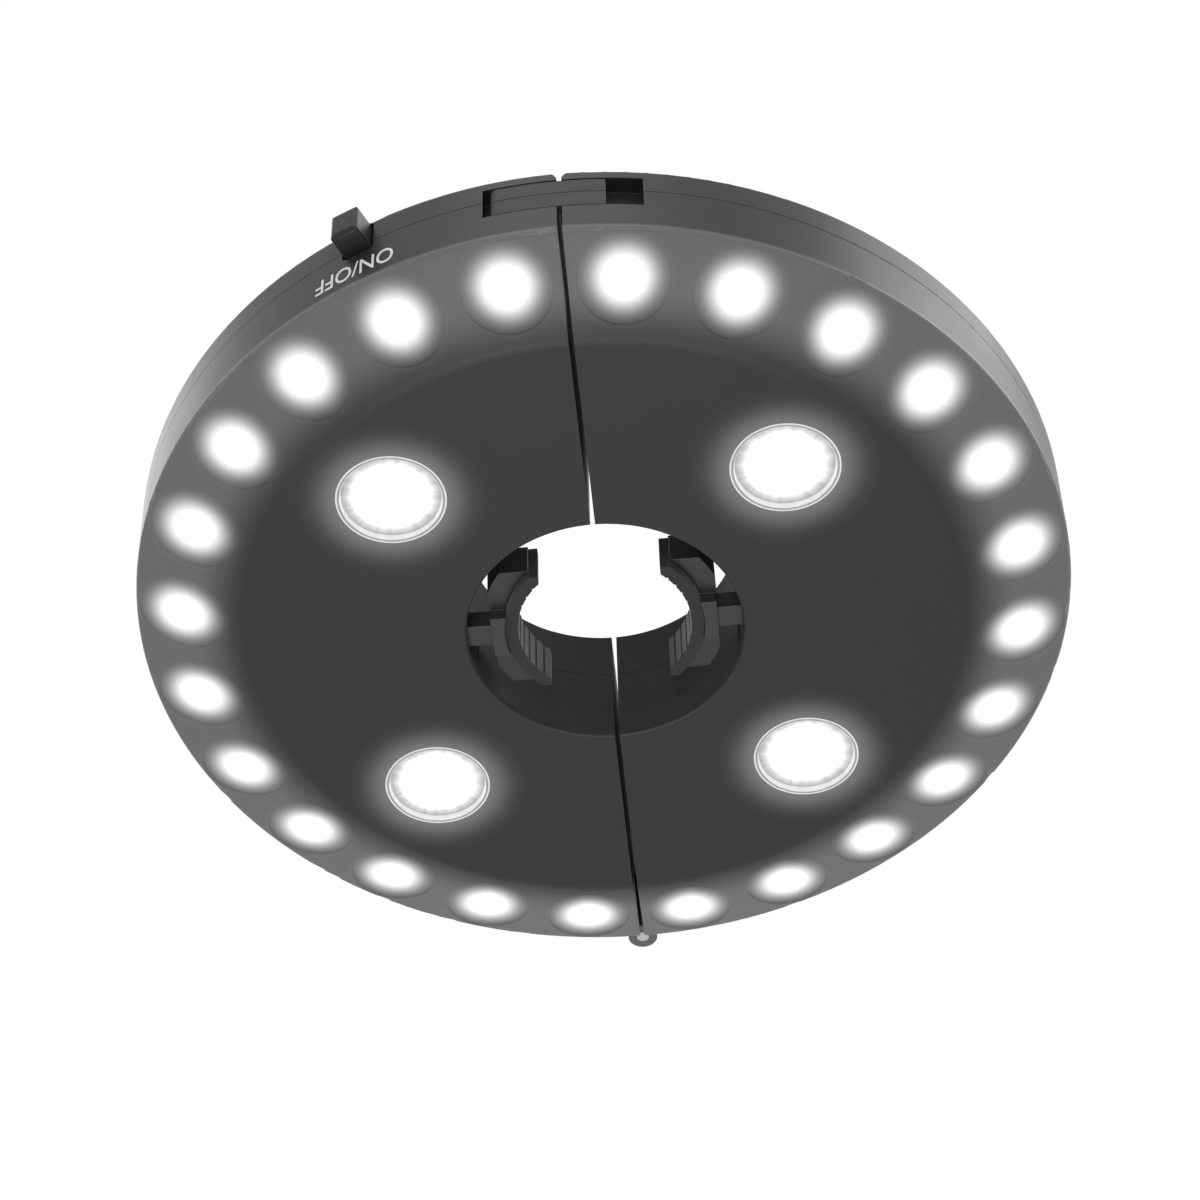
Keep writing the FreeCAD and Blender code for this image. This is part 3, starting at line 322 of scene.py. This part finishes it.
def plan_offset(material, x, y):
    """The way in plan from a point of the lamp, as a node."""
    place = add(material, "ShaderNodeTexCoord")
    centre = add(material, "ShaderNodeMapping")
    centre.inputs["Location"].default_value = (-x, -y, 0)
    centre.inputs["Scale"].default_value = (1, 1, 0)
    link(material, place, "Object", centre, "Vector")
    return centre


def flat_distance(material, x, y):
    """Distance in plan from a point of the lamp, as a node."""
    distance = add(material, "ShaderNodeVectorMath", operation="LENGTH")
    link(material, plan_offset(material, x, y), "Vector", distance, 0)
    return distance


def painted_ring_glow(material):
    """The small LEDs' painted halo, plus a painted sheen on the slope: polar coordinates folded into one
    LED's step serve all of them.
    """
    place = add(material, "ShaderNodeTexCoord")
    split = add(material, "ShaderNodeSeparateXYZ")
    link(material, place, "Object", split, "Vector")
    angle = add(material, "ShaderNodeMath", operation="ARCTAN2")
    link(material, split, "Y", angle, 0)
    link(material, split, "X", angle, 1)
    shifted = maths(material, "ADD", angle, 2 * math.pi)
    folded = maths(material, "MODULO", shifted, LED_STEP)
    offset = maths(material, "SUBTRACT", folded, LED_STEP / 2)
    across = maths(material, "MULTIPLY", offset, LED_RING)
    radius = flat_distance(material, 0, 0)
    outward = add(material, "ShaderNodeMath", operation="SUBTRACT")
    link(material, radius, "Value", outward, 0)
    outward.inputs[1].default_value = LED_RING
    near = add(material, "ShaderNodeCombineXYZ")
    link(material, across, 0, near, "X")
    link(material, outward, 0, near, "Y")
    distance = add(material, "ShaderNodeVectorMath", operation="LENGTH")
    link(material, near, "Vector", distance, 0)
    fall = fade(material, distance.outputs["Value"], *PAINTED_LED_HALO, 1.0)
    halo = maths(material, "MULTIPLY", maths(material, "POWER", fall, 3.4), 1.1)
    # Painted sheen: a faint even emission over the slope, up to the rim's lower edge.
    wash = fade(material, radius.outputs["Value"], *PAINTED_SLOPE_SHEEN, 0.1)
    both = maths(material, "ADD", halo, wash)
    below = fade(material, split.outputs["Z"], *RIM_EDGE, 1.0)
    return maths(material, "MULTIPLY", both, below)


print("halo of the small LEDs ready")

# %% [markdown]
# The spot lamps' painted halo is the same idea round four centres. The four have the same distance from
# both axes of the lamp, so the absolute values of X and Y fold them into one.

# %% Painted halo of the spot lamps
# Painted light: a soft emission round each spot lamp on the flat face.
PAINTED_SPOT_HALO = (11 * MM, 26 * MM)
FACE_SKIN = (FACE_LEVEL + 0.6 * MM, FACE_LEVEL + 2 * MM)


def painted_spot_glow(material):
    """The spot lamps' painted halo, on the flat face only."""
    place = add(material, "ShaderNodeTexCoord")
    fold = add(material, "ShaderNodeVectorMath", operation="ABSOLUTE")
    link(material, place, "Object", fold, 0)
    centre = add(material, "ShaderNodeMapping")
    centre.inputs["Location"].default_value = (-SPOT_REACH, -SPOT_REACH, 0)
    centre.inputs["Scale"].default_value = (1, 1, 0)
    link(material, fold, "Vector", centre, "Vector")
    distance = add(material, "ShaderNodeVectorMath", operation="LENGTH")
    link(material, centre, "Vector", distance, 0)
    fall = fade(material, distance.outputs["Value"], *PAINTED_SPOT_HALO, 1.0)
    split = add(material, "ShaderNodeSeparateXYZ")
    link(material, place, "Object", split, "Vector")
    below = fade(material, split.outputs["Z"], *FACE_SKIN, 1.0)
    soft = maths(material, "MULTIPLY", maths(material, "POWER", fall, 3.0), 0.16)
    return maths(material, "MULTIPLY", soft, below)


print("halo of the spot lamps ready")

# %% [markdown]
# The housing itself: charcoal plastic, satin outside and matt on the wall of the centre hole, with
# both painted halos and the painted sheen added as emission.

# %% Housing
HOUSING_GREY = (0.02, 0.0203, 0.021)
HOLE_WALL = (31.9 * MM, 32.6 * MM)


def matt_hole(material):
    """The wall of the centre hole is left matt, as a mould leaves a wall that nobody looks at."""
    radius = flat_distance(material, 0, 0)
    dull = fade(material, radius.outputs["Value"], *HOLE_WALL, 0.85)
    shader = shader_of(material)
    most = add(material, "ShaderNodeMath", operation="MAXIMUM")
    drift = shader.inputs["Roughness"].links[0].from_socket
    material.node_tree.links.new(drift, most.inputs[0])
    link(material, dull, "Result", most, 1)
    link(material, most, 0, shader, "Roughness")


def satin(name):
    """The satin plastic that the shells and covers are moulded in."""
    material = finish(name, HOUSING_GREY, 0.4, Specular_IOR_Level=0.35)
    uneven(material, 60, 0.34, 0.44)
    grain(material, 2400, 0.1, 0.1 * MM, edge=0.25 * MM)
    matt_hole(material)
    return material


housing = satin("housing_plastic")
# The painted halos and painted sheen become the housing's emission.
painted_glow = maths(housing, "ADD", painted_ring_glow(housing), painted_spot_glow(housing))
shader_of(housing).inputs["Emission Color"].default_value = WHITE
link(housing, painted_glow, 0, shader_of(housing), "Emission Strength")
for side in SIDES:
    smooth_piece(f"lower_shell_{side}", housing)
print("housing finish on", [f"lower_shell_{side}" for side in SIDES])

# %% [markdown]
# The covers and battery doors are the same plastic without the painted glow. The latch and the button are
# a touch darker, as separate mouldings usually are, and the jaws and inner mouldings a touch
# lighter. Corners get a soft rounding in the finish, which catches the light as a thin line.

# %% Other mouldings
cover = satin("cover_plastic")
trim = finish("trim_plastic", (0.018, 0.0183, 0.019), 0.4, Specular_IOR_Level=0.3)
uneven(trim, 150, 0.36, 0.46)
grain(trim, 3000, 0.08, 0.1 * MM, edge=0.3 * MM)
inner = finish("inner_plastic", (0.028, 0.028, 0.029), 0.38)
uneven(inner, 120, 0.3, 0.44)
grain(inner, 1800, 0.12, 0.12 * MM, edge=0.35 * MM)
for side in SIDES:
    smooth_piece(f"upper_cover_{side}", cover)
    smooth_piece(f"battery_door_{side}", cover)
    smooth_piece(f"jaw_{side}", inner)
    dress(f"jaw_guide_cover_{side}", inner)
    dress(f"battery_tray_{side}", inner)
for node in ("latch_lever", "switch_button"):
    smooth_piece(node, trim)
dress("switch_module", inner)
print("mouldings dressed")

# %% [markdown]
# Rubber pads: nearly black and matt, with a soft sheen at grazing angles.

# %% Rubber
rubber = finish("grip_rubber", (0.012, 0.012, 0.012), 0.75, Sheen_Weight=0.2)
grain(rubber, 3500, 0.3, 0.1 * MM)
for side in SIDES:
    smooth_piece(f"jaw_pad_{side}", rubber)
print("rubber dressed")

# %% [markdown]
# Metal: plated steel for screws, pins, springs and contacts, and a mirror-bright cup for each spot
# lamp. The springs and the case screws have cells of their own below.

# %% Metals
steel = finish("plated_steel", (0.55, 0.55, 0.56), 0.28, metallic=1.0)
uneven(steel, 900, 0.22, 0.36)
bright = finish("bright_cup", (0.9, 0.91, 0.92), 0.06, metallic=1.0)
uneven(bright, 300, 0.04, 0.1)
for side in SIDES:
    for piece in ("battery_contacts", "board_screws"):
        dress(f"{piece}_{side}", steel)
    for end in ENDS:
        dress(f"spot_reflector_{end}_{side}", bright)
for node in ("hinge_pin", "latch_pin"):
    smooth_piece(node, steel)
print("metals dressed")

# %% [markdown]
# Each jaw spring stands between the end wall of its guide and the jaw's slide bar. When the jaw
# slides, the spring's far end stays and its near end goes with the jaw, so the coil is stretched
# or squeezed between the two bodies.

# %% Jaw springs
for side in SIDES:
    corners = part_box(f"jaw_spring_{side}")
    near, far = sorted((corners[0][0], corners[1][0]), key=abs)
    level = (corners[0][2] + corners[1][2]) / 2
    ends = ((far, 0, level), (near, 0, level))
    spring = smooth_piece(
        f"jaw_spring_{side}", steel, across=(f"{side}_half", f"jaw_{side}", *ends)
    )
    print(spring.name, "from", round(far / MM, 1), "to", round(near / MM, 1), "mm")

# %% [markdown]
# The case screws need the cross recess that a screwdriver fits. Two thin boxes across each head are
# joined into one cutter for each half, and it is taken out of a merged copy of that half's screws.

# %% Case screws
SLIT_POST = (9.5 * MM, DISC_RADIUS - 34.5 * MM)
FAR_POST_REACH = DISC_RADIUS - 26.5 * MM
FAR_POST_ANGLE = math.radians(30)
FAR_POST = (FAR_POST_REACH * math.cos(FAR_POST_ANGLE), FAR_POST_REACH * math.sin(FAR_POST_ANGLE))
RECESS_LONG = 3.0 * MM
RECESS_WIDE = 0.6 * MM
RECESS_HIGH = 1.8 * MM


def cross_cutter(side):
    """Crossed boxes at every screw head of one half, joined into one cutting object."""
    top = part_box(f"case_screws_{side}")[1][2]
    bars = []
    for (x, y), end in itertools.product((SLIT_POST, FAR_POST), (1, -1)):
        for width, depth in ((RECESS_LONG, RECESS_WIDE), (RECESS_WIDE, RECESS_LONG)):
            bpy.ops.mesh.primitive_cube_add(size=1, location=(SIDES[side] * x, end * y, top))
            bar = bpy.context.active_object
            bar.scale = (width, depth, RECESS_HIGH)
            bars.append(bar)
    bpy.ops.object.select_all(action="DESELECT")
    for bar in bars:
        bar.select_set(True)
    bpy.context.view_layer.objects.active = bars[0]
    bpy.ops.object.transform_apply(location=True, rotation=True, scale=True)
    bpy.ops.object.join()
    return bpy.context.active_object


for side in SIDES:
    screws = smooth_piece(f"case_screws_{side}", steel)
    cutter = cross_cutter(side)
    alone(screws)
    bpy.ops.object.modifier_add(type="BOOLEAN")
    recess = screws.modifiers[0]
    recess.operation = "DIFFERENCE"
    recess.object = cutter
    recess.use_self = True
    bpy.ops.object.modifier_apply(modifier=recess.name)
    bpy.data.objects.remove(cutter, do_unlink=True)
    print(screws.name, len(screws.data.polygons), "faces with cross recesses")

# %% [markdown]
# Boards are hidden, and cells show only when a door is lifted, but they get plain honest finishes:
# a white board and a cell in a plain green sleeve, each with a gloss that drifts a little.

# %% Boards and cells
board = finish("white_board", (0.7, 0.71, 0.69), 0.45)
uneven(board, 500, 0.4, 0.5)
cell = finish("cell_sleeve", (0.02, 0.09, 0.04), 0.3)
uneven(cell, 200, 0.25, 0.35)
for side in SIDES:
    dress(f"led_board_{side}", board)
    for place in ("near", "far"):
        dress(f"battery_cell_{side}_{place}", cell)
    for end in ENDS:
        dress(f"spot_board_{end}_{side}", board)
print("boards and cells dressed")

# %% [markdown]
# The LEDs are lit. Their domes glow far above white, so they burn out to plain white in the
# picture, as they do in a photograph of a lit lamp.

# %% Lit LEDs
LED_GLOW = 6
lit = finish("lit_led", (0.95, 0.96, 1.0), 0.2)
shader_of(lit).inputs["Emission Color"].default_value = WHITE
shader_of(lit).inputs["Emission Strength"].default_value = LED_GLOW
for side in SIDES:
    smooth_piece(f"ring_leds_{side}", lit)
    for end in ENDS:
        dress(f"spot_led_{end}_{side}", lit)
print("LEDs lit")

# %% [markdown]
# Each spot lens is clear plastic with its light painted on as emission: a painted glow, white over
# the middle and falling off towards its rim, where two thin bright rings are painted highlights. The
# distance from the lens's own axis drives all of it, so each lens has its own copy of the finish. A
# noise that follows the angle round the axis breaks the painted falloff into faint painted streaks.

# %% Spot lenses
# Painted light on the lens: a glowing core, its falloff, and two painted highlight rings.
PAINTED_LENS_CORE = (7.2 * MM, 9.6 * MM)
PAINTED_LENS_FALLOFF = (7.6 * MM, 12.2 * MM)
PAINTED_LENS_RINGS = ((12.2 * MM, 0.55), (11.35 * MM, 0.4))
RING_HALF_WIDTH = 0.3 * MM


def painted_ring_highlight(material, distance, radius, strength):
    """A painted highlight in a thin ring: strongest at the radius and gone half a width either side of it.
    """
    away = add(material, "ShaderNodeMath", operation="SUBTRACT")
    link(material, distance, "Value", away, 0)
    away.inputs[1].default_value = radius
    apart = maths(material, "ABSOLUTE", away)
    return fade(material, apart.outputs[0], 0, RING_HALF_WIDTH, strength)


def spot_lens_finish(name, x, y):
    """Clear plastic with a painted glow and painted highlight rings, round the axis at x and y."""
    material = finish(name, (0.3, 0.305, 0.31), 0.12, Transmission_Weight=0.15, IOR=1.49)
    distance = flat_distance(material, x, y)
    core = fade(material, distance.outputs["Value"], *PAINTED_LENS_FALLOFF, 0.85, 0.1)
    heading = add(material, "ShaderNodeVectorMath", operation="NORMALIZE")
    link(material, plan_offset(material, x, y), "Vector", heading, 0)
    noise = add(material, "ShaderNodeTexNoise", in_Scale=5.0, in_Detail=2.0)
    link(material, heading, "Vector", noise, "Vector")
    # Painted streaks: noise round the axis varies the painted glow.
    painted_streaks = fade(material, noise.outputs["Fac"], 0.35, 0.65, 1.12, 0.74)
    light = maths(material, "MULTIPLY", core, painted_streaks)
    steady = fade(material, distance.outputs["Value"], *PAINTED_LENS_CORE, 1.2)
    light = maths(material, "ADD", light, steady)
    for radius, strength in PAINTED_LENS_RINGS:
        light = maths(material, "ADD", light, painted_ring_highlight(material, distance, radius, strength))
    shader = shader_of(material)
    shader.inputs["Emission Color"].default_value = WHITE
    link(material, light, 0, shader, "Emission Strength")
    return material


for side, sx in SIDES.items():
    for end, sy in ENDS.items():
        lens = spot_lens_finish(f"lens_{end}_{side}", sx * SPOT_REACH, sy * SPOT_REACH)
        smooth_piece(f"spot_lens_{end}_{side}", lens)
print("spot lenses dressed")

# %% [markdown]
# The switch is marked ON/OFF in white on the rim beside the button. The letters are text turned
# into a mesh, and each point is then wrapped round the rim: across the word becomes an angle, and
# up the word becomes a height. The paint's middle lies just outside the rim, and its back just
# inside. The word stands on its head, for a reader who looks from below.

# %% Lettering
WORD_ANGLE = math.radians(-115)
WORD_LEVEL = FACE_LEVEL + 13.3 * MM
WORD_LONG = 19.7 * MM
WORD_HIGH = 5.0 * MM
LETTER_SIZE = 6.8 * MM
LETTER_BOLD = 0.03 * MM
PAINT_HALF = 0.06 * MM
PAINT_LIFT = 0.03 * MM
bpy.ops.object.select_all(action="DESELECT")
bpy.ops.object.text_add(location=(0, 0, 0))
word = bpy.context.active_object
word.name = "switch_lettering"
word.data.body = "ON/OFF"
word.data.align_x = "CENTER"
word.data.align_y = "CENTER"
word.data.size = LETTER_SIZE
word.data.extrude = PAINT_HALF
word.data.offset = LETTER_BOLD
word.data.resolution_u = 6
bpy.ops.object.convert(target="MESH")
wide, tall = word.dimensions[0], word.dimensions[1]
for point in word.data.vertices:
    across = point.co.x * WORD_LONG / wide
    up = point.co.y * WORD_HIGH / tall
    angle = WORD_ANGLE - across / DISC_RADIUS
    radius = DISC_RADIUS + PAINT_LIFT + point.co.z
    point.co = (radius * math.cos(angle), radius * math.sin(angle), WORD_LEVEL - up)
paint = finish("white_paint", (0.8, 0.8, 0.79), 0.5)
uneven(paint, 800, 0.42, 0.6)
word.data.materials.clear()
word.data.materials.append(paint)
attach(word, body_of(NODES["lower_shell_left"])[0])
print("lettering", round(wide / MM, 1), "x", round(tall / MM, 1), "mm before it is fitted")

# %% [markdown]
# Stage: a pale floor well below the hanging lamp, and a white world behind it. The world shows
# white to the camera and in reflections, and the floor nearly white, and both light the lamp more
# gently than they look. The floor's own colour is still lit, and only a steady light is added.


# %% Floor and world
def seen_by_camera(tree):
    """1 for rays from the camera, a mirror or clear plastic, and 0 for rays that carry light."""
    path = tree.nodes.new("ShaderNodeLightPath")
    seen = path.outputs["Is Camera Ray"]
    for ray in ("Is Glossy Ray", "Is Transmission Ray"):
        most = tree.nodes.new("ShaderNodeMath")
        most.operation = "MAXIMUM"
        tree.links.new(seen, most.inputs[0])
        tree.links.new(path.outputs[ray], most.inputs[1])
        seen = most.outputs[0]
    return seen


FLOOR_LEVEL = -1.8
FLOOR_SIZE = 18
FLOOR_SHOWN = 0.38
WORLD_LIGHT = 0.5
WORLD_SHOWN = 1.0
bpy.ops.object.select_all(action="DESELECT")
bpy.ops.mesh.primitive_plane_add(size=FLOOR_SIZE, location=(0, 0, FLOOR_LEVEL))
floor = bpy.context.active_object
floor.name = "floor"
pale = finish("pale_floor", (0.8, 0.8, 0.79), 0.8)
shader_of(pale).inputs["Emission Color"].default_value = WHITE
shown = maths(pale, "MULTIPLY", 0.0, FLOOR_SHOWN)
pale.node_tree.links.new(seen_by_camera(pale.node_tree), shown.inputs[0])
link(pale, shown, 0, shader_of(pale), "Emission Strength")
floor.data.materials.append(pale)

world = bpy.data.worlds.new("studio")
bpy.context.scene.world = world
world.use_nodes = True
tree = world.node_tree
background = tree.nodes["Background"]
background.inputs["Color"].default_value = WHITE
level = tree.nodes.new("ShaderNodeMapRange")
level.inputs["To Min"].default_value = WORLD_LIGHT
level.inputs["To Max"].default_value = WORLD_SHOWN
tree.links.new(seen_by_camera(tree), level.inputs["Value"])
tree.links.new(level.outputs["Result"], background.inputs["Strength"])
print("floor at", FLOOR_LEVEL, "m")

# %% [markdown]
# Soft round lamps, each aimed at the middle of the face. Two stand high on the left and right and
# leave a broad sheen on the rim's two sides, and a weaker one stands high in front. Three low ones
# run round the front, so that the rounded lower edge shows as a thin bright line, and one lies
# right below for the far part of the slope.


# %% Lamps
def soft_lamp(name, place, size, power):
    """A round area lamp at a place in metres, with its width in metres and its power in watts."""
    data = bpy.data.lights.new(name, "AREA")
    data.shape = "DISK"
    data.size = size
    data.energy = power
    lamp = bpy.data.objects.new(name, data)
    bpy.context.scene.collection.objects.link(lamp)
    aim = (aim_point - Vector(place)).to_track_quat("-Z", "Y")
    lamp.matrix_world = Matrix.Translation(Vector(place)) @ aim.to_matrix().to_4x4()
    lamp.visible_camera = False


soft_lamp("high_right", (1.1, 0.1, 1.2), 1.0, 7)
soft_lamp("high_left", (-0.95, 0.7, 1.2), 1.0, 4)
soft_lamp("high_front", (-0.1, -1.1, 1.3), 0.9, 3)
soft_lamp("low_front", (0.0, -1.3, -0.6), 0.4, 4.5)
soft_lamp("low_right", (1.3, -0.25, -0.35), 0.4, 1.5)
soft_lamp("low_left", (-1.3, -0.15, -0.25), 0.4, 1.5)
soft_lamp("below", (-0.05, 0.12, -0.7), 0.35, 0.9)
bpy.context.scene.view_settings.view_transform = "Standard"
print("lamps placed")
